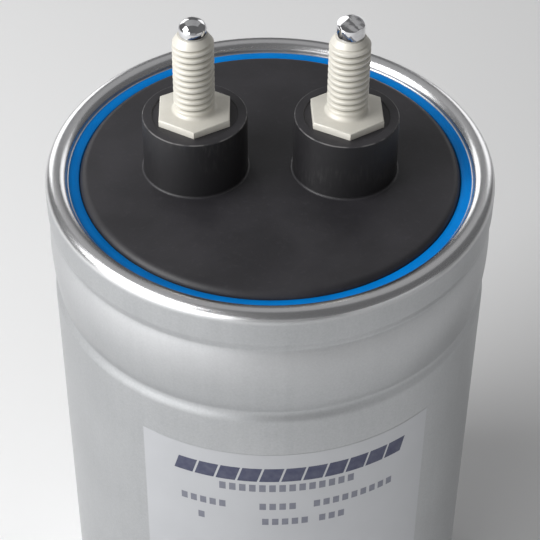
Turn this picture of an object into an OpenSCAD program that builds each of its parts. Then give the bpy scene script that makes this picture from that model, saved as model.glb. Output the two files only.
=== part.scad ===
// Power factor correction capacitor: a wound film cell in a drawn aluminium can,
// closed by a moulded lid with two stud terminals.
// Millimetres, +Z up, origin at the centre of the base. The terminals lie along X.

/* [Can] */
// Outside diameter of the plain wall
can_d = 65; // [58:0.5:85]
// Height from the base to the top of the rolled rim
can_h = 95; // [82:1:160]
// Thickness of the drawn wall
wall = 0.8; // [0.5:0.1:1]
// Thickness of the floor
floor_t = 1.2; // [0.8:0.1:2.5]
// Outside radius of the corner round the base
base_corner_r = 2.5; // [1.8:0.1:3]

/* [Rolled rim] */
// How far the neck above the creases stands out from the plain wall
neck_swell = 0.15; // [0:0.05:0.4]
// Outside radius of the roll
roll_r = 1.6; // [1.3:0.05:2]
// Angle that the roll turns inwards past its top, down to its lip on the seal ring
roll_wrap = 76; // [60:1:85]

/* [Creases] */
// Distance from the rim's top down to the bottom of the upper crease
upper_crease_drop = 6.7; // [6.3:0.1:9]
// Depth of the upper crease
upper_crease_depth = 0.35; // [0.25:0.05:0.6]
// Height of the flank above the upper crease
upper_flank_h = 1.7; // [1.2:0.1:2]
// Height of the barrel between the two creases
barrel_h = 12.2; // [8:0.1:16]
// How far the middle of the barrel swells out between the creases
barrel_bulge = 0.45; // [0.2:0.05:0.6]
// Depth of the lower crease
lower_crease_depth = 0.5; // [0.25:0.05:0.7]
// Height of the flank below the lower crease
lower_flank_h = 2.1; // [1.4:0.1:3]

/* [Lid] */
// Distance from the rim's top down to the lid's flat top
lid_drop = 0.75; // [0.4:0.05:1.2]
// Thickness of the lid's plate
lid_t = 3.5; // [2.5:0.1:4.5]
// Radius of the rounded edge of the lid's top
lid_edge_r = 1.2; // [0.4:0.1:1.4]
// Thickness of the flange that seats on the upper crease
flange_t = 1.8; // [1.2:0.1:2.2]
// Thickness of the skirt between the plate and the flange
skirt_t = 2.7; // [1.5:0.1:4]
// Radial clearance of the flange in the can's neck
lid_fit = 0.1; // [0.05:0.01:0.2]
// Gap between the flange and the crease that it seats on
lid_seat_gap = 0.02; // [0.01:0.01:0.1]

/* [Seal ring] */
// Width of the seal ring that shows between the lid and the lip
seal_show = 1.8; // [0.8:0.1:2.2]
// Distance from the rim's top down to the seal ring's face beside the lid
seal_drop = 1.5; // [1.4:0.05:1.8]
// Clearance round the seal ring
seal_fit = 0.05; // [0.02:0.01:0.1]

/* [Terminal bosses] */
// Distance between the two terminals
terminal_spacing = 21.6; // [18:0.1:28]
// Diameter of a boss at its top
boss_d = 15; // [14:0.1:17]
// Height of a boss above the lid's plate
boss_h = 9.35; // [5:0.05:14]
// How much wider a boss is at its foot, on the diameter
boss_draft = 0.1; // [0:0.05:1]
// Radius of the fillet at a boss's foot
boss_fillet_r = 0.35; // [0.2:0.05:1]
// Radius of the rounded edge round a boss's top
boss_edge_r = 0.2; // [0.1:0.05:0.5]
// Diameter of the round recess that holds the hexagon
recess_d = 12.2; // [12:0.1:13.5]
// Depth of that recess
recess_depth = 0.15; // [0.1:0.05:0.6]

/* [Terminal studs] */
// Outside diameter of the stud's thread
stud_d = 5.85; // [5:0.05:6]
// Height of the stud above its boss
stud_h = 13.5; // [9:0.1:20]
// Width of the hexagon across its flats
hex_af = 10; // [8:0.1:10.2]
// Thickness of the hexagon
hex_t = 1.1; // [0.8:0.1:3]
// Diameter of the flare where the shank meets the hexagon
flare_d = 6.8; // [6.2:0.1:7.6]
// Height of that flare
flare_h = 1.1; // [0.6:0.1:2]
// Height of the chamfer at the stud's end
lead_in_h = 1.25; // [0.6:0.05:2]
// Diameter of the stud's end face
stud_end_d = 4.2; // [4.1:0.05:4.6]
// Diameter of the swaged foot under the lid
foot_d = 9; // [7.5:0.1:11]
// Thickness of the swaged foot
foot_t = 1; // [0.6:0.1:1.5]
// Clearance of the shank in the lid
stud_fit = 0.05; // [0.02:0.01:0.1]
// Turn of the left hexagon about its axis
stud_turn_left = 1; // [-30:1:30]
// Turn of the right hexagon about its axis
stud_turn_right = 3; // [-30:1:30]

/* [Solder tips] */
// Diameter of a solder tip
tip_d = 4; // [3:0.1:4.1]
// Height of the straight part of a tip
tip_wall_h = 0.85; // [0.5:0.05:3]
// Height of the left tip's dome
left_dome_h = 1.55; // [0.8:0.05:1.9]
// Height of the right tip's flatter dome
right_dome_h = 1.5; // [0.6:0.05:1.8]
// Radius of the frozen drop on the right tip
drop_r = 0.65; // [0.3:0.05:0.8]
// Distance of the drop from the right tip's axis
drop_offset = 0.6; // [0:0.05:0.9]

/* [Label] */
// Distance from the rim's top down to the label's upper edge
label_drop = 27.3; // [24:0.1:40]
// Height of the label
label_h = 45; // [20:0.5:46]
// Angle that the label covers round the wall
label_angle = 79; // [30:1:300]
// Angle from the front to the label's middle
label_turn = 6; // [-30:1:30]
// Thickness of the label
label_t = 0.12; // [0.05:0.01:0.3]
// Thickness of the adhesive between the label and the wall
label_glue_t = 0.02; // [0.01:0.01:0.1]

/* [Cell] */
// Gap between the insulating sleeve and the can's wall
sleeve_gap = 1.8; // [1.6:0.1:3]
// Thickness of the insulating sleeve
sleeve_t = 0.6; // [0.3:0.1:1.5]
// Clearance of the winding and the upper disc in the sleeve
cell_fit = 0.15; // [0.05:0.05:0.5]
// Free height between the cell's top and the lower crease's flank
head_room = 1.5; // [0.5:0.1:8]
// Thickness of the insulating disc under the winding
base_disc_t = 2.5; // [2:0.1:4]
// Thickness of the insulating disc on top of the winding
top_disc_t = 1.5; // [1:0.1:3]
// Thickness of a sprayed contact layer
contact_t = 0.5; // [0.3:0.05:1]
// Outside diameter of the core tube
core_d = 12; // [9:0.5:14]
// Wall of the core tube
core_wall = 2; // [1:0.1:2.5]

/* [Leads] */
// Diameter of a lead
lead_d = 1.4; // [1:0.1:1.6]
// Clearance of a lead in the holes that it passes
lead_fit = 0.1; // [0.05:0.05:0.2]
// Radius of a lead's bends, along its middle
lead_bend_r = 2.2; // [1.8:0.1:3]
// Reach of the right lead along the lower contact layer
lead_reach = 14; // [10:0.5:20]
// Gap between the leads' ends and the contact layers they are joined to
joint_gap = 0.05; // [0.02:0.01:0.1]
// Height of the right lead's cross run above the upper disc
cross_run_h = 8; // [5:0.1:9]
// Depth that a lead's end reaches into its solder tip
lead_in_tip = 0.8; // [0.3:0.1:1]

/* [Hidden] */

$fn = 96;
arc_steps = 12;
small_fn = 48;

// Can
can_r = can_d / 2;
neck_r = can_r + neck_swell;
roll_centre_r = neck_r - roll_r;
roll_z = can_h - roll_r;
upper_crease_z = can_h - upper_crease_drop;
upper_crease_r = neck_r - upper_crease_depth;
lower_crease_z = upper_crease_z - barrel_h;
lower_crease_r = can_r - lower_crease_depth;
wall_top_z = lower_crease_z - lower_flank_h;

// Lid and seal ring
lid_r = roll_centre_r - roll_r * sin(roll_wrap) - seal_show;
lid_z = can_h - lid_drop;
plate_z = lid_z - lid_t;
flange_r = neck_r - wall - lid_fit;
seat_turn = acos(2 * lid_fit / upper_crease_depth - 1);
flange_z = upper_crease_z + upper_flank_h * seat_turn / 180 + lid_seat_gap;
flange_top_z = flange_z + flange_t;

// Terminals
boss_z = lid_z + boss_h;
hex_z = boss_z - recess_depth;
hex_top_z = hex_z + hex_t;
stud_end_z = boss_z + stud_h;
lead_hole_r = lead_d / 2 + lead_fit;
lead_end_z = stud_end_z + lead_in_tip;

// Cell
sleeve_r = can_r - wall - sleeve_gap;
cell_r = sleeve_r - sleeve_t - cell_fit;
base_disc_z = floor_t + base_disc_t;
cell_top_z = wall_top_z - head_room;
top_contact_z = cell_top_z - top_disc_t;
core_r = core_d / 2;

// Points on a circle of radius r about [x, y], from angle a to angle b
function arc(x, y, r, a, b) =
    [for (i = [0:arc_steps]) let (t = a + (b - a) * i / arc_steps) [x + r * cos(t), y + r * sin(t)]];

// A flank that eases from radius r1 at height z1 to radius r2 at height z2
function flank(r1, z1, r2, z2) =
    [for (i = [0:arc_steps]) let (t = i / arc_steps)
        [r1 + (r2 - r1) * (1 - cos(180 * t)) / 2, z1 + (z2 - z1) * t]];

// The barrel's line, from the lower crease to the upper one
function barrel_line() =
    [for (i = [1:arc_steps - 1]) let (t = i / arc_steps)
        [lower_crease_r + (upper_crease_r - lower_crease_r) * t + 4 * barrel_bulge * t * (1 - t),
         lower_crease_z + barrel_h * t]];

// The wall's outer line through both creases, upwards
function crease_line() = concat(
    flank(can_r, wall_top_z, lower_crease_r, lower_crease_z),
    barrel_line(),
    flank(upper_crease_r, upper_crease_z, neck_r, upper_crease_z + upper_flank_h));

// The roll's line, over its top and down to the lip, at a depth below the outside
function roll_line(depth) = arc(roll_centre_r, roll_z, roll_r - depth, 0, 90 + roll_wrap);

function moved_in(points, distance) = [for (p = points) [p[0] - distance, p[1]]];
function reversed(points) = [for (i = [len(points) - 1:-1:0]) points[i]];

// A flat ring about the Z axis
module ring(outer_r, inner_r, z, height) {
    translate([0, 0, z])
        difference() {
            cylinder(h = height, r = outer_r);
            translate([0, 0, -height])
                cylinder(h = 3 * height, r = inner_r);
        }
}

module can() {
    inner_corner_r = base_corner_r - wall;
    outer_line = concat(
        [[0, 0]],
        arc(can_r - base_corner_r, base_corner_r, base_corner_r, -90, 0),
        crease_line(),
        roll_line(0));
    inner_line = concat(
        reversed(roll_line(wall)),
        reversed(moved_in(crease_line(), wall)),
        arc(can_r - base_corner_r, floor_t + inner_corner_r, inner_corner_r, 0, -90),
        [[0, floor_t]]);
    color("silver")
        rotate_extrude()
            polygon(concat(outer_line, inner_line));
}

module label() {
    color("gainsboro")
        rotate([0, 0, label_turn - 90 - label_angle / 2])
            rotate_extrude(angle = label_angle)
                translate([can_r + label_glue_t, can_h - label_drop - label_h])
                    square([label_t, label_h]);
}

module seal_ring() {
    inner_r = lid_r + seal_fit;
    outer_r = neck_r - wall - seal_fit;
    lip_end_r = roll_centre_r - (roll_r - wall) * sin(roll_wrap);
    lip_end_z = roll_z + (roll_r - wall) * cos(roll_wrap);
    color("dodgerblue")
        rotate_extrude()
            polygon(concat(
                [[inner_r, flange_top_z], [outer_r, flange_top_z]],
                roll_line(wall + seal_fit),
                [[lip_end_r, lip_end_z - seal_fit], [inner_r, can_h - seal_drop]]));
}

// One moulded boss, from inside the plate to its recessed top
module boss(side) {
    foot_r = (boss_d + boss_draft) / 2;
    translate([side * terminal_spacing / 2, 0, 0])
        rotate_extrude()
            polygon(concat(
                [[0, lid_z - lid_edge_r], [foot_r + boss_fillet_r, lid_z - lid_edge_r]],
                arc(foot_r + boss_fillet_r, lid_z + boss_fillet_r, boss_fillet_r, -90, -180),
                arc(boss_d / 2 - boss_edge_r, boss_z - boss_edge_r, boss_edge_r, 0, 90),
                [[recess_d / 2, boss_z], [recess_d / 2, hex_z], [0, hex_z]]));
}

module lid() {
    skirt_r = lid_r - skirt_t;
    color("dimgray")
        difference() {
            union() {
                rotate_extrude()
                    polygon(concat(
                        [[0, plate_z], [skirt_r, plate_z], [skirt_r, flange_z], [flange_r, flange_z],
                         [flange_r, flange_top_z], [lid_r, flange_top_z]],
                        arc(lid_r - lid_edge_r, lid_z - lid_edge_r, lid_edge_r, 0, 90),
                        [[0, lid_z]]));
                for (side = [-1, 1])
                    boss(side);
            }
            for (side = [-1, 1])
                translate([side * terminal_spacing / 2, 0, plate_z - lid_t])
                    cylinder(h = lid_t + boss_z - plate_z, r = stud_d / 2 + stud_fit);
        }
}

// A stud with its swaged foot, hexagon, flare, lead-in and through hole for the lead
module terminal_stud(side, turn) {
    shank_r = stud_d / 2;
    color("ivory")
        translate([side * terminal_spacing / 2, 0, 0])
            difference() {
                union() {
                    rotate_extrude()
                        polygon([[0, plate_z - foot_t], [foot_d / 2, plate_z - foot_t],
                                 [foot_d / 2, plate_z], [shank_r, plate_z], [shank_r, hex_z],
                                 [flare_d / 2, hex_z], [flare_d / 2, hex_top_z],
                                 [shank_r, hex_top_z + flare_h], [shank_r, stud_end_z - lead_in_h],
                                 [stud_end_d / 2, stud_end_z], [0, stud_end_z]]);
                    translate([0, 0, hex_z])
                        rotate([0, 0, 30 + turn])
                            cylinder(h = hex_t, r = hex_af / 2 / cos(30), $fn = 6);
                }
                translate([0, 0, plate_z - 2 * foot_t])
                    cylinder(h = stud_end_z - plate_z + 3 * foot_t, r = lead_hole_r, $fn = small_fn);
            }
}

module terminal_stud_left() {
    terminal_stud(-1, stud_turn_left);
}

module terminal_stud_right() {
    terminal_stud(1, stud_turn_right);
}

// The blind hole round a lead's end, and the tip's domed body about the stud's axis
module solder_tip(side, dome_h) {
    tip_r = tip_d / 2;
    shoulder_z = stud_end_z + tip_wall_h;
    dome_line = [for (p = arc(0, 0, 1, 0, 90)) [tip_r * p[0], shoulder_z + dome_h * p[1]]];
    color("lightgray")
        translate([side * terminal_spacing / 2, 0, 0])
            difference() {
                union() {
                    rotate_extrude($fn = small_fn)
                        polygon(concat([[0, stud_end_z], [tip_r, stud_end_z]], dome_line));
                    children();
                }
                translate([0, 0, stud_end_z - lead_in_tip])
                    cylinder(h = 2 * lead_in_tip + joint_gap, r = lead_hole_r, $fn = small_fn);
            }
}

module solder_tip_left() {
    solder_tip(-1, left_dome_h);
}

module solder_tip_right() {
    solder_tip(1, right_dome_h)
        translate([-drop_offset, 0, stud_end_z + tip_wall_h + right_dome_h])
            sphere(r = drop_r, $fn = small_fn);
}

// A straight stretch of lead that starts at the given point and runs up
module lead_up(point, length) {
    translate(point)
        cylinder(h = length, d = lead_d, $fn = small_fn);
}

// A straight stretch of lead along +X
module lead_across(point, length) {
    translate(point)
        rotate([0, 90, 0])
            cylinder(h = length, d = lead_d, $fn = small_fn);
}

// A quarter bend in the XZ plane about the given point, from the given angle
module lead_bend(point, angle) {
    translate(point)
        rotate([90, 0, 0])
            rotate([0, 0, angle])
                rotate_extrude(angle = 90)
                    translate([lead_bend_r, 0])
                        circle(d = lead_d, $fn = small_fn);
}

module lead_left() {
    start_z = top_contact_z + joint_gap;
    color("peru")
        lead_up([-terminal_spacing / 2, 0, start_z], lead_end_z - start_z);
}

// From the lower contact layer, through the core tube, across to the right stud and up
module lead_right() {
    stud_x = terminal_spacing / 2;
    run_z = base_disc_z - lead_d / 2 - joint_gap;
    cross_z = cell_top_z + cross_run_h;
    color("peru")
        union() {
            lead_across([lead_bend_r, 0, run_z], lead_reach - lead_bend_r);
            lead_bend([lead_bend_r, 0, run_z + lead_bend_r], 180);
            lead_up([0, 0, run_z + lead_bend_r], cross_z - run_z - 2 * lead_bend_r);
            lead_bend([lead_bend_r, 0, cross_z - lead_bend_r], 90);
            lead_across([lead_bend_r, 0, cross_z], stud_x - 2 * lead_bend_r);
            lead_bend([stud_x - lead_bend_r, 0, cross_z + lead_bend_r], 270);
            lead_up([stud_x, 0, cross_z + lead_bend_r], lead_end_z - cross_z - lead_bend_r);
        }
}

// Holes for both leads, one at the middle and one under the left stud
module top_disc() {
    color("whitesmoke")
        difference() {
            ring(cell_r, lead_hole_r, top_contact_z, top_disc_t);
            translate([-terminal_spacing / 2, 0, top_contact_z - top_disc_t])
                cylinder(h = 3 * top_disc_t, r = lead_hole_r, $fn = small_fn);
        }
}

module insulating_sleeve() {
    color("wheat")
        ring(sleeve_r, sleeve_r - sleeve_t, base_disc_z, cell_top_z - base_disc_z);
}

module contact_layer_top() {
    color("gray")
        ring(cell_r, core_r, top_contact_z - contact_t, contact_t);
}

module winding() {
    winding_z = base_disc_z + contact_t;
    color("khaki")
        ring(cell_r, core_r, winding_z, top_contact_z - contact_t - winding_z);
}

module core_tube() {
    color("white")
        ring(core_r, core_r - core_wall, base_disc_z, top_contact_z - base_disc_z);
}

module contact_layer_bottom() {
    color("gray")
        ring(cell_r, core_r, base_disc_z, contact_t);
}

// A slot takes the right lead's run under the lower contact layer
module base_disc() {
    slot_w = lead_d + 2 * lead_fit;
    slot_depth = lead_d + joint_gap + lead_fit;
    slot_z = base_disc_z - slot_depth;
    color("whitesmoke")
        difference() {
            translate([0, 0, floor_t])
                cylinder(h = base_disc_t, r = sleeve_r);
            translate([-slot_w / 2, -slot_w / 2, slot_z])
                cube([lead_reach + slot_w / 2 + lead_fit, slot_w, 2 * slot_depth]);
        }
}

can();
label();
seal_ring();
lid();
terminal_stud_left();
terminal_stud_right();
solder_tip_left();
solder_tip_right();
lead_left();
lead_right();
top_disc();
insulating_sleeve();
contact_layer_top();
winding();
core_tube();
contact_layer_bottom();
base_disc();
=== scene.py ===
import math
import bmesh
import bpy
from mathutils import Matrix, Quaternion, Vector, noise


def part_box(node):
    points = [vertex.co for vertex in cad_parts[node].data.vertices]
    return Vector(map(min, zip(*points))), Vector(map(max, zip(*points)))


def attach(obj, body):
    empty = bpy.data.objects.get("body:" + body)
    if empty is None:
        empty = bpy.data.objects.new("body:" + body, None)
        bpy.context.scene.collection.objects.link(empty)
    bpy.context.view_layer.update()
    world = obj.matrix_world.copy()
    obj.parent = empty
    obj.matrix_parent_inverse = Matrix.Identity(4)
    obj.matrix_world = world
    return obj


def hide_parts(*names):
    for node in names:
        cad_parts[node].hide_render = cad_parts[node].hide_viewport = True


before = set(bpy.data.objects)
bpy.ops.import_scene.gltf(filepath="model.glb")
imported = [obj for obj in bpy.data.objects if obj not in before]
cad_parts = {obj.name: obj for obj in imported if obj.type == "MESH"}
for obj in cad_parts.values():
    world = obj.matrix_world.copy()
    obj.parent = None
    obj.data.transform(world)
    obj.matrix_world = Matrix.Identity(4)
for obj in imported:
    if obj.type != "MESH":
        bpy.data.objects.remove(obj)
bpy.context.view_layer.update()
mm = 0.001
print("frame loaded, nodes:", len(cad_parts))


# heights and places that the frame gives, in mm
def nodeLow(name, axis=2):
    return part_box(name)[0][axis] / mm


def nodeHigh(name, axis=2):
    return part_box(name)[1][axis] / mm


place = {
    "rimTop": nodeHigh("can"),
    "neckR": nodeHigh("can", 0),
    "bossTop": nodeHigh("lid"),
    "studEnd": nodeHigh("terminal_stud_left"),
    "studFoot": nodeLow("terminal_stud_left"),
    "labelTop": nodeHigh("label"),
    "labelLow": nodeLow("label"),
    "terminalX": (nodeHigh("solder_tip_right", 0) + nodeLow("solder_tip_right", 0)) / 2,
}


def terminalAt(side):
    return place["terminalX"] * (-1 if side == "left" else 1)


# mesh helpers

def arcPoints(centre, radius, start, end, steps=12):
    turn = (end - start) / steps
    angles = [math.radians(start + turn * i) for i in range(steps + 1)]
    return [(centre[0] + radius * math.cos(a), centre[1] + radius * math.sin(a)) for a in angles]


def easeFlank(low, high, steps=12):
    points = []
    for i in range(steps + 1):
        t = i / steps
        ease = (1 - math.cos(math.pi * t)) / 2
        points.append((low[0] + (high[0] - low[0]) * ease, low[1] + (high[1] - low[1]) * t))
    return points


# turns a radius and height outline, in mm, about the upright axis at x
def turnOutline(bm, outline, x=0.0, steps=128, closed=True):
    verts = [bm.verts.new((r * mm, 0, z * mm)) for r, z in outline]
    edges = [bm.edges.new(pair) for pair in zip(verts, verts[1:])]
    if closed:
        edges.append(bm.edges.new((verts[-1], verts[0])))
    before = set(bm.verts) - set(verts)
    bmesh.ops.spin(bm, geom=verts + edges, cent=(0, 0, 0), axis=(0, 0, 1), angle=math.tau,
                   steps=steps, use_merge=True)
    made = [v for v in bm.verts if v not in before]
    bmesh.ops.remove_doubles(bm, verts=made, dist=1e-7)
    made = [v for v in bm.verts if v not in before]
    bmesh.ops.translate(bm, verts=made, vec=(x * mm, 0, 0))
    return made


def finishPiece(name, bm, paint, node, sharpAngle=32):
    bmesh.ops.recalc_face_normals(bm, faces=bm.faces)
    for face in bm.faces:
        face.smooth = True
    for edge in bm.edges:
        if len(edge.link_faces) == 2 and edge.calc_face_angle() > math.radians(sharpAngle):
            edge.smooth = False
    mesh = bpy.data.meshes.new(name)
    bm.to_mesh(mesh)
    bm.free()
    piece = bpy.data.objects.new(name, mesh)
    bpy.context.collection.objects.link(piece)
    mesh.materials.append(paint.material)
    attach(piece, "root")
    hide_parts(node)
    print("made", name, "with", len(mesh.polygons), "faces")
    return piece


# shader helpers: a Wire is a socket that takes arithmetic

class Wire:
    def __init__(self, paint, socket):
        self.paint = paint
        self.socket = socket

    def math(self, operation, first, second=0.0, clamp=False):
        settings = {"operation": operation, "use_clamp": clamp}
        return self.paint.node("ShaderNodeMath", settings, {0: first, 1: second})

    def __add__(self, other):
        return self.math("ADD", self, other)

    def __sub__(self, other):
        return self.math("SUBTRACT", self, other)

    def __rsub__(self, other):
        return self.math("SUBTRACT", other, self)

    def __mul__(self, other):
        return self.math("MULTIPLY", self, other)

    def __truediv__(self, other):
        return self.math("DIVIDE", self, other)

    def __abs__(self):
        return self.math("ABSOLUTE", self)

    __radd__ = __add__
    __rmul__ = __mul__

    def below(self, limit):
        return self.math("LESS_THAN", self, limit)

    def above(self, limit):
        return self.math("GREATER_THAN", self, limit)

    def clamped(self):
        return self.math("ADD", self, 0.0, clamp=True)

    # 0 at low, 1 at high, eased between
    def ramp(self, low, high):
        settings = {"interpolation_type": "SMOOTHSTEP"}
        sockets = {"Value": self, "From Min": low, "From Max": high}
        return self.paint.node("ShaderNodeMapRange", settings, sockets)


class Paint:
    def __init__(self, name, **constants):
        self.material = bpy.data.materials.new(name)
        self.material.use_nodes = True
        self.tree = self.material.node_tree
        self.tree.nodes.clear()
        self.shader = self.tree.nodes.new("ShaderNodeBsdfPrincipled")
        output = self.tree.nodes.new("ShaderNodeOutputMaterial")
        self.tree.links.new(self.shader.outputs[0], output.inputs[0])
        self.set(**constants)

    # values or wires for the shader's own sockets
    def set(self, **values):
        for key, value in values.items():
            self.feed(self.shader.inputs[key.replace("_", " ")], value)

    def feed(self, socket, value):
        if isinstance(value, Wire):
            self.tree.links.new(value.socket, socket)
        elif socket.type == "RGBA" and len(value) == 3:
            socket.default_value = (*value, 1)
        else:
            socket.default_value = value

    # any node: its settings first, then the values or wires of its sockets
    def node(self, kind, settings=None, sockets=None, out=0):
        fresh = self.tree.nodes.new(kind)
        for key, value in (settings or {}).items():
            setattr(fresh, key, value)
        for key, value in (sockets or {}).items():
            self.feed(fresh.inputs[key], value)
        return Wire(self, fresh.outputs[out])

    def objectPoint(self):
        return self.node("ShaderNodeTexCoord", out=3)

    # object coordinates, in mm
    def axes(self):
        point = self.objectPoint()
        return [self.node("ShaderNodeSeparateXYZ", None, {0: point}, out=axis) / mm for axis in range(3)]

    # distance from the nearer terminal's axis, in mm
    def reach(self, x, y):
        across = abs(x) - place["terminalX"]
        return x.math("SQRT", across * across + y * y)

    def stretched(self, scale, turn=(0, 0, 0)):
        sockets = {"Vector": self.objectPoint(), "Scale": scale, "Rotation": turn}
        return self.node("ShaderNodeMapping", None, sockets)

    # cloudy noise, with its scale as features in a metre
    def grain(self, scale, detail=3.0, roughness=0.55, vector=None):
        sockets = {"Vector": vector or self.objectPoint(), "Scale": scale}
        sockets.update({"Detail": detail, "Roughness": roughness})
        return self.node("ShaderNodeTexNoise", {"noise_dimensions": "3D"}, sockets)

    def mix(self, factor, first, second):
        return self.node("ShaderNodeMix", {"data_type": "RGBA"}, {0: factor, 6: first, 7: second}, out=2)

    # relief with its depth in mm, on top of another relief where one is given
    def bump(self, height, strength, depth, under=None):
        sockets = {"Height": height, "Strength": strength, "Distance": depth * mm}
        if under:
            sockets["Normal"] = under
        normal = self.node("ShaderNodeBump", None, sockets)
        self.set(Normal=normal)
        return normal


# drawn can: satin wall, creases with the barrel between them, polished rolled rim

canForm = {
    "neckSwell": 0.15, "wall": 0.8, "floor": 1.2, "corner": 2.5,
    "rollR": 1.6, "rollWrap": 76, "rollSteps": 36,
    "lipEdge": [(0.05, -0.11), (0.11, -0.16), (0.17, -0.18), (0.22, -0.22), (0.23, -0.29), (0.18, -0.34)],
    "upperDrop": 6.7, "upperDepth": 0.35, "upperFlank": 1.7,
    "barrelHigh": 12.2, "bulge": 0.45, "barrelSteps": 24,
    "lowerDepth": 0.5, "lowerFlank": 2.1,
    "turnSteps": 192,
}


def wallRadius():
    return place["neckR"] - canForm["neckSwell"]


def upperCrease():
    return place["rimTop"] - canForm["upperDrop"]


def creaseLine():
    f = canForm
    upperZ = upperCrease()
    lowerZ = upperZ - f["barrelHigh"]
    upperR = place["neckR"] - f["upperDepth"]
    lowerR = wallRadius() - f["lowerDepth"]
    line = easeFlank((wallRadius(), lowerZ - f["lowerFlank"]), (lowerR, lowerZ))
    for i in range(1, f["barrelSteps"]):
        t = i / f["barrelSteps"]
        swell = 4 * f["bulge"] * t * (1 - t)
        line.append((lowerR + (upperR - lowerR) * t + swell, lowerZ + f["barrelHigh"] * t))
    return line + easeFlank((upperR, upperZ), (place["neckR"], upperZ + f["upperFlank"]))


# over the roll's top and down to its lip, at a depth below the outside
def rollLine(depth):
    f = canForm
    centre = (place["neckR"] - f["rollR"], place["rimTop"] - f["rollR"])
    return arcPoints(centre, f["rollR"] - depth, 0, 90 + f["rollWrap"], steps=f["rollSteps"])


def makeCan(paint):
    f = canForm
    corner = (wallRadius() - f["corner"], f["corner"])
    innerCorner = (corner[0], f["floor"] + f["corner"] - f["wall"])
    outer = [(0, 0)] + arcPoints(corner, f["corner"], -90, 0) + creaseLine()
    outer += rollLine(0)
    lipR, lipZ = outer[-1]
    outer += [(lipR - inwards, lipZ + rise) for inwards, rise in f["lipEdge"]]
    inner = rollLine(f["wall"])[::-1]
    inner += [(r - f["wall"], z) for r, z in reversed(creaseLine())]
    inner += arcPoints(innerCorner, f["corner"] - f["wall"], 0, -90) + [(0, f["floor"])]
    bm = bmesh.new()
    turnOutline(bm, outer + inner, steps=f["turnSteps"])
    return finishPiece("can_shell", bm, paint, "can")


# drops lie below the rim's top; the rise and fall of the painted highlight on the barrel's upward-facing top
# lie above or below the upper crease
canLook = {
    "wall": (0.53, 0.54, 0.55), "wallDark": (0.40, 0.41, 0.42), "rim": (0.75, 0.75, 0.76),
    "wallRough": 0.40, "rimRough": 0.26, "polishDrop": (1.8, 0.6),
    "grain": {"drawn": 700, "cloud": 65, "grit": 3000, "fine": 2600}, "drawnStretch": 0.06,
    "tone": {"drawn": 0.45, "cloud": 0.30, "grit": 0.9, "shift": -0.30},
    "rough": {"drawn": 0.08, "cloud": 0.06},
    "barrelHighlight": 0.25, "highlightRise": (-9.5, -2.0), "highlightFall": (-0.9, 0.3),
    "swell": 0.45, "drawnRelief": 0.4, "relief": (0.10, 0.1),
}


def paintAluminium():
    look = canLook
    grain = look["grain"]
    share = look["tone"]
    paint = Paint("satinAluminium", Metallic=1.0)
    z = paint.axes()[2]
    polish = z.ramp(*[place["rimTop"] - drop for drop in look["polishDrop"]])
    drawn = paint.grain(grain["drawn"], detail=4, vector=paint.stretched((1, 1, look["drawnStretch"])))
    cloud = paint.grain(grain["cloud"], detail=5, roughness=0.6)
    grit = paint.grain(grain["grit"], detail=3)
    tone = drawn * share["drawn"] + cloud.ramp(0.25, 0.75) * share["cloud"]
    tone = (tone + grit * share["grit"] + share["shift"]).clamped()
    wall = paint.mix(tone, look["wallDark"], look["wall"])
    rise = z.ramp(*[upperCrease() + edge for edge in look["highlightRise"]])
    fall = z.ramp(*[upperCrease() + edge for edge in look["highlightFall"]])
    # painted highlight: the barrel's upper part, which faces up into the light, is mixed toward the paler rim
    # colour
    wall = paint.mix(rise * (1 - fall) * look["barrelHighlight"], wall, look["rim"])
    paint.set(Base_Color=paint.mix(polish, wall, look["rim"]))
    satin = look["wallRough"] + (cloud - 0.5) * look["rough"]["cloud"]
    satin = satin + (drawn - 0.5) * look["rough"]["drawn"]
    paint.set(Roughness=satin * (1 - polish) + look["rimRough"] * polish)
    fine = paint.grain(grain["fine"], detail=2)
    across = ((z - upperCrease()) / canForm["barrelHigh"] + 1).clamped()
    swell = paint.bump(across * (1 - across), 1.0, 4 * look["swell"])
    paint.bump((fine + drawn * look["drawnRelief"]) * (1 - polish), *look["relief"], swell)
    return paint


# blue ring squeezed between the lid and the roll

sealForm = {"show": 1.8, "fit": 0.05, "drop": 1.5, "crown": 0.05, "edge": 0.12, "turnSteps": 160}


def lidRadius():
    return rollLine(0)[-1][0] - sealForm["show"]


def makeSeal(paint):
    f = sealForm
    inner = lidRadius() + f["fit"]
    lowZ = nodeLow("seal_ring")
    topZ = place["rimTop"] - f["drop"]
    roll = rollLine(canForm["wall"] + f["fit"])
    lipR, lipZ = rollLine(canForm["wall"])[-1]
    middle = ((lipR + inner) / 2, (lipZ + topZ) / 2 + f["crown"])
    outline = [(inner, lowZ), (roll[0][0], lowZ)] + roll + [(lipR, lipZ - f["fit"]), middle]
    outline += [(inner + f["edge"], topZ), (inner, topZ - f["edge"])]
    bm = bmesh.new()
    turnOutline(bm, outline, steps=f["turnSteps"])
    return finishPiece("seal_band", bm, paint, "seal_ring", sharpAngle=60)


sealLook = {
    "dark": (0.0, 0.19, 0.60), "pale": (0.0, 0.22, 0.68), "shine": 0.10, "rough": 0.40, "roughSpan": 0.2,
    "grain": {"cloud": 160, "skin": 900}, "relief": (0.15, 0.1),
}


def paintSeal():
    look = sealLook
    paint = Paint("blueRubber", Metallic=0.0, Specular_IOR_Level=look["shine"])
    cloud = paint.grain(look["grain"]["cloud"], detail=3)
    paint.set(Base_Color=paint.mix(cloud.ramp(0.3, 0.7), look["dark"], look["pale"]))
    paint.set(Roughness=look["rough"] + (cloud - 0.5) * look["roughSpan"])
    paint.bump(paint.grain(look["grain"]["skin"], detail=3), *look["relief"])
    return paint


# moulded lid with its two bosses

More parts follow.
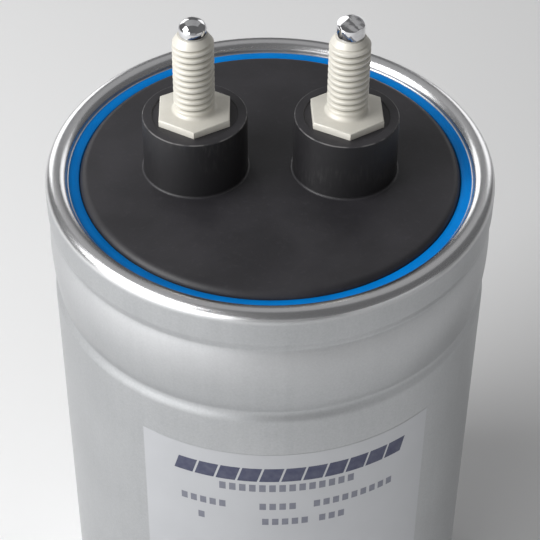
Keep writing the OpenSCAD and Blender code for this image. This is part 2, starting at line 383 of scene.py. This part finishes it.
lidForm = {
    "bossHigh": 9.35, "plate": 3.5, "edge": 1.2, "skirt": 2.7,
    "bossR": 7.5, "bossDraft": 0.05, "fillet": 0.35, "bossEdge": 0.2,
    "recessR": 6.1, "recess": 0.15, "recessEdge": 0.08,
    "turnSteps": 160, "bossSteps": 96,
}


def platePoints(topZ):
    f = lidForm
    lidR = lidRadius()
    skirtR = lidR - f["skirt"]
    flangeR = nodeHigh("lid", 0)
    flangeLow = nodeLow("lid")
    flangeTop = nodeLow("seal_ring")
    plateLow = topZ - f["plate"]
    under = [(0, plateLow), (skirtR, plateLow), (skirtR, flangeLow), (flangeR, flangeLow)]
    edge = arcPoints((lidR - f["edge"], topZ - f["edge"]), f["edge"], 0, 90)
    return under + [(flangeR, flangeTop), (lidR, flangeTop)] + edge + [(0, topZ)]


def bossPoints(topZ):
    f = lidForm
    top = place["bossTop"]
    filletR = f["bossR"] + f["bossDraft"] + f["fillet"]
    foot = arcPoints((filletR, topZ + f["fillet"]), f["fillet"], -90, -180, steps=8)
    edge = arcPoints((f["bossR"] - f["bossEdge"], top - f["bossEdge"]), f["bossEdge"], 0, 90, steps=6)
    recess = [(f["recessR"] + f["recessEdge"], top), (f["recessR"], top - f["recessEdge"]),
              (f["recessR"], top - f["recess"]), (0, top - f["recess"])]
    return [(0, topZ - f["edge"]), (filletR, topZ - f["edge"])] + foot + edge + recess


def makeLid(paint):
    f = lidForm
    topZ = place["bossTop"] - f["bossHigh"]
    bm = bmesh.new()
    turnOutline(bm, platePoints(topZ), steps=f["turnSteps"], closed=False)
    for side in ("left", "right"):
        turnOutline(bm, bossPoints(topZ), x=terminalAt(side), steps=f["bossSteps"], closed=False)
    return finishPiece("lid_moulding", bm, paint, "lid", sharpAngle=40)


# bands are distances in mm from the boss's radius or below its top
lidLook = {
    "dark": (0.019, 0.018, 0.021), "pale": (0.036, 0.034, 0.039), "worn": (0.19, 0.185, 0.18),
    # side is painted shade: a darker colour for the bosses' upright sides
    "side": (0.010, 0.0095, 0.011), "rough": 0.50, "roughSpan": 0.15,
    "grain": {"cloud": 110, "speck": 1500, "patch": 420, "scuff": 190}, "tone": {"cloud": 0.7, "speck": 0.5},
    "edgeWear": 0.6, "edgeIn": 0.06, "edgeBand": (0.03, 0.16), "edgeDrop": (0.16, 0.06),
    "sideScuff": 0.09, "sideBand": (-0.02, 0.12), "strokes": (2600, 2600, 500), "strokeTurn": (0.5, 0.7, 0),
    "relief": (0.12, 0.1),
}


# matt moulding, with a worn line along each boss's top edge, painted shade darkening each boss's upright side
# and faint scuffs down it
def paintLid():
    look = lidLook
    grain = look["grain"]
    paint = Paint("blackMoulding", Metallic=0.0)
    x, y, z = paint.axes()
    out = paint.reach(x, y) - lidForm["bossR"]
    cloud = paint.grain(grain["cloud"], detail=5, roughness=0.6)
    speck = paint.grain(grain["speck"], detail=2)
    tone = cloud.ramp(0.3, 0.75) * look["tone"]["cloud"] + speck.ramp(0.55, 0.8) * look["tone"]["speck"]
    plain = paint.mix(tone.clamped(), look["dark"], look["pale"])
    nearEdge = 1 - abs(out + look["edgeIn"]).ramp(*look["edgeBand"])
    nearTop = z.ramp(*[place["bossTop"] - drop for drop in look["edgeDrop"]])
    patchy = paint.grain(grain["patch"], detail=4).ramp(0.42, 0.60)
    onSide = out.above(look["sideBand"][0]) * out.below(look["sideBand"][1])
    strokes = paint.grain(1, detail=5, vector=paint.stretched(look["strokes"], look["strokeTurn"]))
    scuff = onSide * strokes.ramp(0.46, 0.72) * paint.grain(grain["scuff"], detail=4).ramp(0.40, 0.68)
    # painted shade: the bosses' upright sides are mixed toward the darker side colour
    plain = paint.mix(onSide, plain, look["side"])
    worn = nearEdge * nearTop * patchy * look["edgeWear"] + scuff * look["sideScuff"]
    paint.set(Base_Color=paint.mix(worn.clamped(), plain, look["worn"]))
    paint.set(Roughness=look["rough"] + (cloud - 0.5) * look["roughSpan"])
    paint.bump(speck, *look["relief"])
    return paint


# terminal studs: hexagon, flare and rolled thread in one piece

studForm = {
    "threadR": 2.925, "depth": 0.50, "pitch": 1.0, "turnSteps": 56,
    "tooth": [(0.0, 0.0), (0.04, 0.0), (0.14, 0.30), (0.25, 0.82), (0.31, 0.97), (0.40, 1.0), (0.64, 1.0),
              (0.73, 0.97), (0.79, 0.82), (0.90, 0.30)],
    "flareR": 3.4, "flareHigh": 1.1, "flareUnder": 0.25, "flareSink": 0.4, "threadSink": 1.2, "bodySteps": 96,
    "hexFlats": 10.0, "hexHigh": 1.1, "hexBevel": 0.18,
    "leadIn": 1.25, "endR": 2.1, "footR": 4.5, "foot": 1.0,
    "hexTurn": {"left": 1.0, "right": 3.0}, "threadTurn": {"left": 2.2, "right": 0.4},
}


# one tooth's outline is screwed up the stud, narrowed by the lead-in and trimmed flat at both ends
def addThread(bm, lowZ, endZ, x, startTurn):
    f = studForm
    rootR = f["threadR"] - f["depth"]
    turns = math.ceil((endZ - lowZ) / f["pitch"]) + 2
    steps = turns * f["turnSteps"]
    before = set(bm.verts)
    verts = []
    for along, rise in f["tooth"] + [(1.0, 0.0)]:
        radius = rootR + f["depth"] * rise
        verts.append(bm.verts.new((radius * mm, 0, (lowZ - f["pitch"] + along * f["pitch"]) * mm)))
    edges = [bm.edges.new(pair) for pair in zip(verts, verts[1:])]
    bmesh.ops.spin(bm, geom=verts + edges, cent=(0, 0, 0), axis=(0, 0, 1), angle=math.tau * turns,
                   dvec=(0, 0, f["pitch"] * turns / steps * mm), steps=steps)
    made = [v for v in bm.verts if v not in before]
    bmesh.ops.remove_doubles(bm, verts=made, dist=2e-6)
    made = [v for v in bm.verts if v not in before]
    slope = (f["threadR"] - f["endR"]) / f["leadIn"]
    for v in made:
        limit = f["endR"] + max(0.0, endZ - v.co.z / mm) * slope
        radius = math.hypot(v.co.x, v.co.y) / mm
        if radius > limit:
            v.co.x *= limit / radius
            v.co.y *= limit / radius
    for height, way in ((lowZ, -1), (endZ, 1)):
        geom = [v for v in bm.verts if v not in before]
        geom += [e for e in bm.edges if e.verts[0] not in before]
        geom += [face for face in bm.faces if face.verts[0] not in before]
        cut = bmesh.ops.bisect_plane(bm, geom=geom, dist=1e-8, plane_co=(0, 0, height * mm),
                                     plane_no=(0, 0, way), clear_outer=True)
        rim = [e for e in cut["geom_cut"] if isinstance(e, bmesh.types.BMEdge)]
        bmesh.ops.contextual_create(bm, geom=rim)
    made = [v for v in bm.verts if v not in before]
    spot = Matrix.Translation((x * mm, 0, 0)) @ Matrix.Rotation(startTurn, 4, "Z")
    bmesh.ops.transform(bm, matrix=spot, verts=made)


def addHexagon(bm, lowZ, x, turn):
    f = studForm
    cornerR = f["hexFlats"] / 2 / math.cos(math.radians(30))
    spot = Matrix.Translation((x * mm, 0, lowZ * mm)) @ Matrix.Rotation(math.radians(turn), 4, "Z")
    disc = bmesh.ops.create_circle(bm, cap_ends=True, segments=6, radius=cornerR * mm, matrix=spot)
    base = disc["verts"][0].link_faces[0]
    raised = bmesh.ops.extrude_face_region(bm, geom=[base], use_keep_orig=True)["geom"]
    upper = [v for v in raised if isinstance(v, bmesh.types.BMVert)]
    bmesh.ops.translate(bm, verts=upper, vec=(0, 0, f["hexHigh"] * mm))
    edges = [e for e in raised if isinstance(e, bmesh.types.BMEdge)]
    bmesh.ops.bevel(bm, geom=edges, offset=f["hexBevel"] * mm, affect="EDGES", segments=2, profile=0.5,
                    material=-1)


def makeStud(side, paint):
    f = studForm
    x = terminalAt(side)
    hexLow = place["bossTop"] - lidForm["recess"]
    hexTop = hexLow + f["hexHigh"]
    flareTop = hexTop + f["flareHigh"]
    footLow = place["studFoot"]
    footTop = footLow + f["foot"]
    bm = bmesh.new()
    addHexagon(bm, hexLow, x, f["hexTurn"][side])
    narrowing = f["flareR"] - f["threadR"] + f["flareUnder"]
    flare = []
    for degrees in range(0, 91, 10):
        a = math.radians(degrees)
        flare.append((f["flareR"] - narrowing * math.sin(a), hexTop + f["flareHigh"] * (1 - math.cos(a))))
    body = [(0, footLow), (f["footR"], footLow), (f["footR"], footTop), (f["threadR"], footTop),
            (f["threadR"], hexLow + f["flareSink"]), (f["flareR"], hexLow + f["flareSink"])]
    turnOutline(bm, body + flare + [(0, flareTop)], x=x, steps=f["bodySteps"], closed=False)
    addThread(bm, flareTop - f["threadSink"], place["studEnd"], x, f["threadTurn"][side])
    return finishPiece("stud_" + side, bm, paint, "terminal_stud_" + side, sharpAngle=50)


# painted shade in the thread's grooves starts at the second depth below the thread's outside, is full at the
# first and ends at the lead-in
tinLook = {
    "dull": (0.57, 0.549, 0.490), "bright": (0.71, 0.688, 0.625), "groove": (0.24, 0.225, 0.19),
    "rough": 0.5, "roughSpan": 0.2, "relief": (0.15, 0.1),
    "grain": {"cloud": 420, "fine": 2400}, "tone": {"cloud": 0.8, "fine": 0.3},
    "grooveShade": 0.75, "grooveShadeDepth": (0.47, 0.26), "grooveShadeFade": (-0.3, 0.2),
}


# matt plating, with painted shade darkening the bottom of the thread
def paintTin():
    look = tinLook
    paint = Paint("mattTin", Metallic=0.2)
    x, y, z = paint.axes()
    shallow = paint.reach(x, y).ramp(*[studForm["threadR"] - depth for depth in look["grooveShadeDepth"]])
    threadEnd = place["studEnd"] - studForm["leadIn"]
    pastEnd = z.ramp(*[threadEnd + rise for rise in look["grooveShadeFade"]])
    cloud = paint.grain(look["grain"]["cloud"], detail=4)
    fine = paint.grain(look["grain"]["fine"], detail=2)
    tone = cloud * look["tone"]["cloud"] + fine * look["tone"]["fine"]
    plated = paint.mix(tone.clamped(), look["dull"], look["bright"])
    # painted shade: the thread's grooves are darkened where shade falls in them
    grooveShade = (1 - shallow) * (1 - pastEnd) * look["grooveShade"]
    paint.set(Base_Color=paint.mix(grooveShade, plated, look["groove"]))
    paint.set(Roughness=look["rough"] + (cloud - 0.5) * look["roughSpan"])
    paint.bump(fine, *look["relief"])
    return paint


# frozen solder on the studs' ends

tipForm = {
    "radius": 2.0, "turnSteps": 96, "base": [(1.84, 0.0), (1.93, 0.15), (1.98, 0.35)], "wobbleScale": 0.9,
    "left": {"wallHigh": 0.85, "dome": 1.52, "wobble": 0.05, "seed": 3.0, "cuts": []},
    "right": {"wallHigh": 1.75, "dome": 1.10, "wobble": 0.08, "seed": 8.0,
              "cuts": [(0.06, 0.50, 2.76), (-0.34, 0.10, 2.66), (0.55, -0.05, 3.04)]},
}


# a dome on a short round base; each cut flattens it to a plane, by its slopes and its height on the axis
def makeTip(side, paint):
    f = tipForm
    shape = f[side]
    lowZ = place["studEnd"]
    shoulder = lowZ + shape["wallHigh"]
    base = [(radius, lowZ + rise) for radius, rise in f["base"]]
    dome = []
    for degrees in range(0, 91, 3):
        a = math.radians(degrees)
        dome.append((f["radius"] * math.cos(a), shoulder + shape["dome"] * math.sin(a)))
    bm = bmesh.new()
    made = turnOutline(bm, [(0, lowZ)] + base + dome, steps=f["turnSteps"], closed=False)
    for v in made:
        height = v.co.z / mm - lowZ
        if height <= 0:
            continue
        point = Vector((v.co.x / mm, v.co.y / mm, height))
        push = noise.noise(point * f["wobbleScale"] + Vector((shape["seed"], 0, 0))) * shape["wobble"]
        v.co += Vector((v.co.x, v.co.y, 0)).normalized() * (push - shape["wobble"] / 2) * mm
        limits = [slopeX * point.x + slopeY * point.y + level for slopeX, slopeY, level in shape["cuts"]]
        v.co.z = (lowZ + min([height] + limits)) * mm
    bmesh.ops.translate(bm, verts=made, vec=(terminalAt(side) * mm, 0, 0))
    return finishPiece("solder_" + side, bm, paint, "solder_tip_" + side, sharpAngle=24)


solderLook = {
    "dark": (0.66, 0.66, 0.68), "pale": (0.80, 0.80, 0.81), "rough": 0.05, "roughSpan": 0.08,
    "grain": {"cloud": 500, "skin": 700}, "relief": (0.08, 0.2),
}


def paintSolder():
    look = solderLook
    paint = Paint("brightSolder", Metallic=1.0)
    cloud = paint.grain(look["grain"]["cloud"], detail=3)
    paint.set(Base_Color=paint.mix(cloud.ramp(0.3, 0.7), look["dark"], look["pale"]))
    paint.set(Roughness=look["rough"] + cloud * look["roughSpan"])
    paint.bump(paint.grain(look["grain"]["skin"], detail=3), *look["relief"])
    return paint


# film label wrapped round the wall

labelForm = {"angle": 79.0, "turn": 6.0, "glue": 0.004, "thick": 0.02, "across": 96, "down": 24}


def makeLabel(paint):
    f = labelForm
    innerR = wallRadius() + f["glue"]
    middleZ = (place["labelTop"] + place["labelLow"]) / 2
    high = place["labelTop"] - place["labelLow"]
    bm = bmesh.new()
    bmesh.ops.create_grid(bm, x_segments=f["across"], y_segments=f["down"], size=0.5)
    bmesh.ops.rotate(bm, verts=bm.verts, matrix=Matrix.Rotation(math.radians(90), 3, "X"))
    for v in bm.verts:
        turn = math.radians(f["angle"] * v.co.x + f["turn"])
        v.co = Vector((innerR * math.sin(turn), -innerR * math.cos(turn), middleZ + high * v.co.z)) * mm
    bmesh.ops.recalc_face_normals(bm, faces=bm.faces)
    outward = sum(face.normal.dot(face.calc_center_median()) for face in bm.faces)
    if outward < 0:
        bmesh.ops.reverse_faces(bm, faces=bm.faces)
    bmesh.ops.solidify(bm, geom=bm.faces, thickness=-f["thick"] * mm)
    return finishPiece("label_film", bm, paint, "label")


# print on the label: rows of plain blocks, by depth below its top edge in mm
# a run has the place of its first block along the wall, in mm, and its count of blocks
labelPrint = {
    "plain": {"pitch": 1.46, "fill": 0.66, "slant": 0.0, "strength": 0.7},
    "heading": {"pitch": 3.18, "fill": 0.90, "slant": 0.28, "strength": 1.0},
    "rows": [
        {"kind": "heading", "depth": (2.9, 5.7), "runs": [(-17.3, 11)]},
        {"kind": "plain", "depth": (6.4, 7.9), "runs": [(-10.4, 14)]},
        {"kind": "plain", "depth": (10.5, 11.9), "runs": [(-16.3, 5), (-4.5, 4), (3.5, 9)]},
        {"kind": "plain", "depth": (13.9, 15.3), "runs": [(-13.7, 1), (-4.1, 5), (4.4, 3)]},
    ],
}

labelLook = {
    "ink": (0.050, 0.056, 0.115), "film": (0.57, 0.58, 0.60), "filmDark": (0.51, 0.52, 0.54), "metal": 0.85,
    "rough": 0.46, "roughSpan": 0.12, "inkCover": 0.80, "inkSpan": 0.2,
    "grain": {"cloud": 140, "ink": 900, "skin": 1800}, "relief": (0.06, 0.1),
}


# how much ink there is, by the distance along the wall and the depth below the label's top
def inkBlocks(along, depth):
    ink = 0.0
    for row in labelPrint["rows"]:
        kind = labelPrint[row["kind"]]
        low, high = row["depth"]
        tall = abs(depth - (low + high) / 2).below((high - low) / 2)
        for left, count in row["runs"]:
            step = (along + (depth - high) * kind["slant"] - left) / kind["pitch"]
            wide = abs(step - count / 2).below(count / 2)
            block = step.math("FRACT", step).below(kind["fill"])
            ink = tall * wide * block * kind["strength"] + ink
    return ink


def paintLabel():
    look = labelLook
    grain = look["grain"]
    paint = Paint("silverFilm", Metallic=look["metal"])
    x, y, z = paint.axes()
    along = (x.math("ARCTAN2", x, y * -1.0) - math.radians(labelForm["turn"])) * wallRadius()
    ink = inkBlocks(along, place["labelTop"] - z)
    cloud = paint.grain(grain["cloud"], detail=4)
    film = paint.mix(cloud, look["filmDark"], look["film"])
    cover = (look["inkCover"] + paint.grain(grain["ink"], detail=3) * look["inkSpan"]).clamped()
    paint.set(Base_Color=paint.mix((ink * cover).clamped(), film, look["ink"]))
    paint.set(Roughness=look["rough"] + (cloud - 0.5) * look["roughSpan"])
    paint.bump(paint.grain(grain["skin"], detail=2), *look["relief"])
    return paint


# inner pieces keep their solids and get their own finishes

innerLook = {
    "drawnCopper": {
        "nodes": ("lead_left", "lead_right"), "metal": 1.0, "grain": 600, "detail": 3,
        "dark": (0.62, 0.30, 0.16), "pale": (0.80, 0.44, 0.28), "rough": 0.25, "roughSpan": 0.2,
    },
    "naturalPlastic": {
        "nodes": ("top_disc", "core_tube", "base_disc"), "metal": 0.0, "grain": 200, "detail": 3,
        "dark": (0.70, 0.70, 0.67), "pale": (0.82, 0.82, 0.80), "rough": 0.45, "roughSpan": 0.15,
    },
    "amberFilm": {
        "nodes": ("insulating_sleeve",), "metal": 0.0, "grain": 90, "detail": 3,
        "dark": (0.62, 0.50, 0.30), "pale": (0.76, 0.66, 0.46), "rough": 0.30, "roughSpan": 0.1,
    },
    "sprayedZinc": {
        "nodes": ("contact_layer_top", "contact_layer_bottom"), "metal": 0.9, "grain": 1400, "detail": 4,
        "dark": (0.30, 0.31, 0.32), "pale": (0.52, 0.53, 0.54), "rough": 0.55, "roughSpan": 0.3,
        "relief": (0.5, 0.3),
    },
    "woundFilm": {
        "nodes": ("winding",), "metal": 0.2, "layer": 0.25,
        "dark": (0.62, 0.60, 0.50), "pale": (0.74, 0.72, 0.64), "rough": 0.35, "roughSpan": 0.1,
    },
}


# a cloudy tone, or thin rings of film about the core where the finish has layers
def paintInner(name):
    look = innerLook[name]
    paint = Paint(name, Metallic=look["metal"])
    if "layer" in look:
        x, y, z = paint.axes()
        tone = x.math("PINGPONG", x.math("SQRT", x * x + y * y), look["layer"]) / look["layer"]
    else:
        tone = paint.grain(look["grain"], detail=look["detail"])
    paint.set(Base_Color=paint.mix(tone.clamped(), look["dark"], look["pale"]))
    paint.set(Roughness=look["rough"] + tone * look["roughSpan"])
    if "relief" in look:
        paint.bump(tone, *look["relief"])
    return paint


def dressInner():
    for name, look in innerLook.items():
        paint = paintInner(name)
        for node in look["nodes"]:
            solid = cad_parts[node]
            solid.data.materials.clear()
            solid.data.materials.append(paint.material)
    print("inner pieces dressed")


# studio: pale floor, a soft key and a broad front lamp from the left, weak fills from the other sides

studio = {
    "floorSize": 30.0, "floor": (0.84, 0.84, 0.84), "floorRough": 0.9, "world": (0.14, 0.14, 0.142),
    "lamps": {
        "key": {"at": (-0.39, -0.13, 0.40), "size": (0.34, 0.34), "power": 2.5},
        "front": {"at": (-0.54, -0.47, 0.26), "size": (0.85, 0.46), "power": 3.5},
        "low": {"at": (0.0, -0.80, 0.19), "size": (0.62, 0.34), "power": 0.15},
        "right": {"at": (0.56, -0.42, 0.10), "size": (0.60, 0.17), "power": 0.18},
        "top": {"at": (0.0, 0.40, 0.85), "size": (1.30, 0.80), "power": 0.80},
        "backLeft": {"at": (-0.42, 0.72, 0.30), "size": (0.40, 0.45), "power": 1.1},
        "backRight": {"at": (0.42, 0.72, 0.30), "size": (0.40, 0.45), "power": 0.7},
    },
    "aim": (0.0, 0.0, 0.07),
}


def makeFloor():
    bm = bmesh.new()
    bmesh.ops.create_grid(bm, x_segments=1, y_segments=1, size=studio["floorSize"] / 2)
    mesh = bpy.data.meshes.new("floor")
    bm.to_mesh(mesh)
    bm.free()
    floor = bpy.data.objects.new("floor", mesh)
    bpy.context.collection.objects.link(floor)
    paint = Paint("paleFloor", Base_Color=studio["floor"], Roughness=studio["floorRough"])
    mesh.materials.append(paint.material)
    print("floor laid")


def makeLamps():
    for name, lamp in studio["lamps"].items():
        data = bpy.data.lights.new(name, "AREA")
        data.shape = "RECTANGLE"
        data.size, data.size_y = lamp["size"]
        data.energy = lamp["power"]
        holder = bpy.data.objects.new(name, data)
        holder.location = lamp["at"]
        towards = Vector(studio["aim"]) - Vector(lamp["at"])
        holder.rotation_euler = towards.to_track_quat("-Z", "Y").to_euler()
        bpy.context.collection.objects.link(holder)
    world = bpy.data.worlds.new("studio")
    world.use_nodes = True
    world.node_tree.nodes["Background"].inputs["Color"].default_value = (*studio["world"], 1)
    bpy.context.scene.world = world
    bpy.context.scene.view_settings.view_transform = "Standard"
    print("studio lit")


# the view: where the eye stands, its line of sight, roll in degrees, lens and nearest distance seen
view = {
    "eye": (0.0, -0.19763, 0.25263), "sight": (0.000426, 0.741456, -0.671001), "roll": 0.59,
    "lens": 115.86, "near": 0.01,
}


def makeCamera():
    data = bpy.data.cameras.new("camera")
    data.lens = view["lens"]
    data.clip_start = view["near"]
    camera = bpy.data.objects.new("camera", data)
    turn = Vector(view["sight"]).to_track_quat("-Z", "Y")
    roll = Quaternion((0, 0, 1), math.radians(view["roll"]))
    camera.location = view["eye"]
    camera.rotation_euler = (turn @ roll).to_euler()
    bpy.context.collection.objects.link(camera)
    bpy.context.scene.camera = camera
    print("camera placed")


makeCamera()
makeFloor()
makeLamps()
makeCan(paintAluminium())
makeSeal(paintSeal())
makeLid(paintLid())
tin = paintTin()
solder = paintSolder()
for side in ("left", "right"):
    makeStud(side, tin)
    makeTip(side, solder)
makeLabel(paintLabel())
dressInner()
